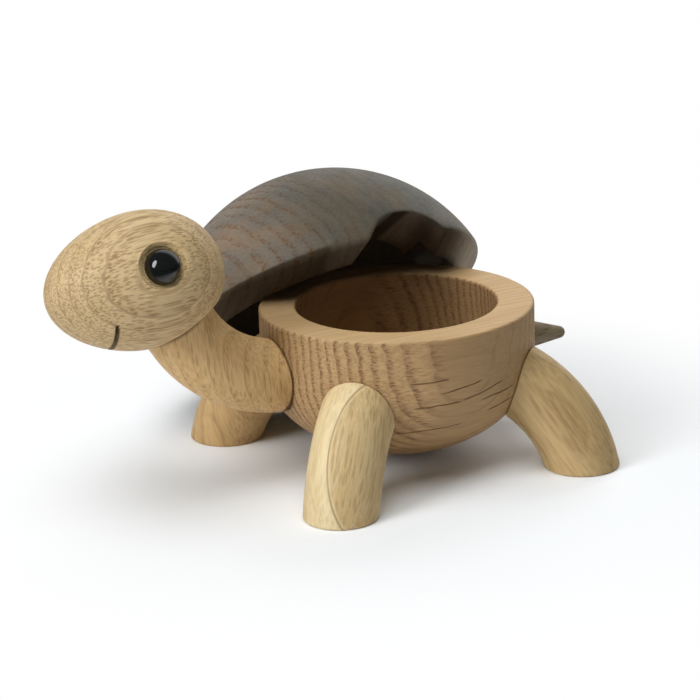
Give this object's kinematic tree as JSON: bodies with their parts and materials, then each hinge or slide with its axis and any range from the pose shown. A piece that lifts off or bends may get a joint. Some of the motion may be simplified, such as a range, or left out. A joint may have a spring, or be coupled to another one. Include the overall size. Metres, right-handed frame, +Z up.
{
  "type": "turtle figurine",
  "caption": "Oak turtle figurine: a bowl on bent legs with a turning egg-shaped head and a loose hollow shell that serves as the lid.",
  "frame": {"origin": "on the bowl's axis at the height of the table", "axes": "+Z up, -Y the way the turtle faces, +X the turtle's left"},
  "size_m": [0.1276, 0.1467, 0.0756],
  "materials": {
    "oak_bowl": "oiled satin",
    "oak_head": "oiled satin",
    "oak_limb": "oiled satin",
    "smoked_oak": "smoked, oiled satin",
    "dark_oak": "smoked, oiled satin",
    "eye_black": "gloss",
    "dowel_wood": "raw"
  },
  "bodies": {
    "base": {"bowl": "oak_bowl", "neck": "oak_limb", "leg_front_left": "oak_limb", "leg_front_right": "oak_limb", "leg_rear_left": "oak_limb", "leg_rear_right": "oak_limb", "tail": "dark_oak", "leg_dowels": "dowel_wood", "neck_dowel": "dowel_wood", "head_pivot": "dowel_wood"},
    "head": {"head": "oak_head", "eye_left": "eye_black", "eye_right": "eye_black"},
    "shell": {"shell": "smoked_oak"}
  },
  "joints": [
    {"name": "head_turn", "type": "hinge", "parent": "base", "child": "head", "pos_m": [0, -0.06288, 0.04758], "axis": [0, -0.5, 0.866], "continuous": true},
    {"name": "shell_lift", "type": "slide", "parent": "base", "child": "shell", "axis": [0, 0, 1], "range_m": [0, 0.06]}
  ]
}
